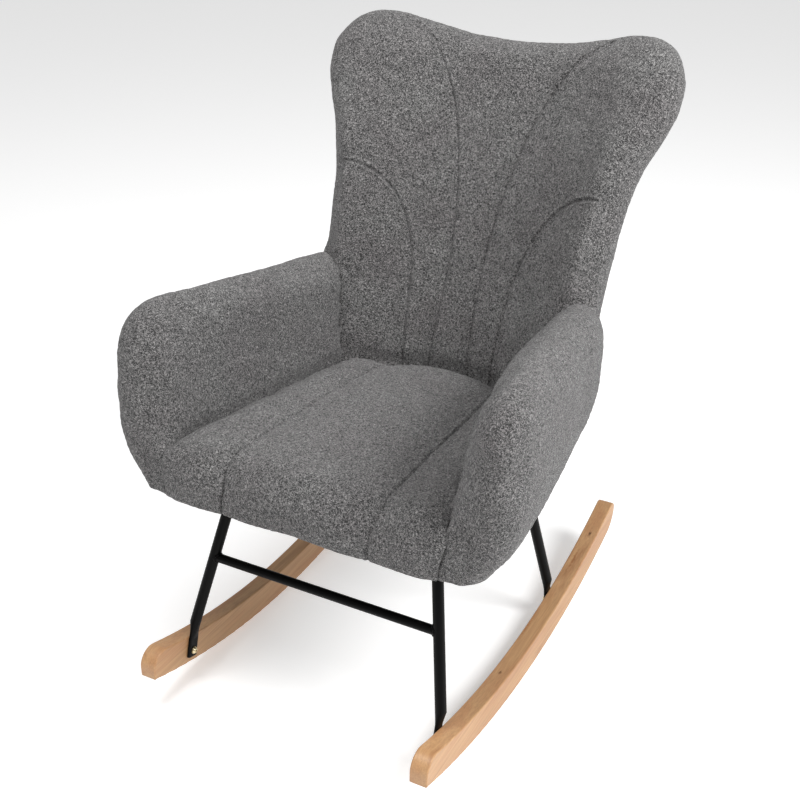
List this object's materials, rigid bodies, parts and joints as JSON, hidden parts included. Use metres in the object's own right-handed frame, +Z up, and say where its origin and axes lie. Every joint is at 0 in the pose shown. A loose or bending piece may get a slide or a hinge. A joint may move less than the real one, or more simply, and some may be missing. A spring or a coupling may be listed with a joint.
{
  "type": "rocking chair",
  "caption": "Upholstered wing-back rocking chair: barrel back, padded arms, splayed steel legs on curved wooden rockers.",
  "frame": {"origin": "on the floor, in the middle of the chair's footprint", "axes": "+Z up, -Y towards the sitter's feet, +X the sitter's left hand"},
  "size_m": [0.6918, 0.9493, 1.04],
  "materials": {
    "boucle_fabric": "matte",
    "rocker_wood": "satin",
    "black_steel": "satin",
    "zinc_hardware": "satin",
    "brass_hardware": "satin",
    "frame_lumber": "matte",
    "plywood": "matte",
    "dust_cloth": "matte"
  },
  "bodies": {
    "root": {"arm_bolts": "zinc_hardware", "arm_core_left": "plywood", "arm_core_right": "plywood", "arm_pad_left": "boucle_fabric", "arm_pad_right": "boucle_fabric", "back_bracket": "black_steel", "back_panel": "boucle_fabric", "backrest_core": "plywood", "backrest_pad": "boucle_fabric", "bracket_bolts": "zinc_hardware", "dust_cover": "dust_cloth", "frame_bolts": "zinc_hardware", "frame_nuts": "zinc_hardware", "frame_washers": "zinc_hardware", "front_leg_left": "black_steel", "front_leg_right": "black_steel", "front_mount_rail": "black_steel", "front_stretcher": "black_steel", "rear_leg_left": "black_steel", "rear_leg_right": "black_steel", "rear_mount_rail": "black_steel", "rear_stretcher": "black_steel", "rocker_bolts": "zinc_hardware", "rocker_inserts": "brass_hardware", "rocker_left": "rocker_wood", "rocker_right": "rocker_wood", "rocker_washers": "zinc_hardware", "seat_board": "plywood", "seat_cushion": "boucle_fabric", "seat_frame_front": "frame_lumber", "seat_frame_left": "frame_lumber", "seat_frame_rear": "frame_lumber", "seat_frame_right": "frame_lumber"}
  },
  "joints": []
}
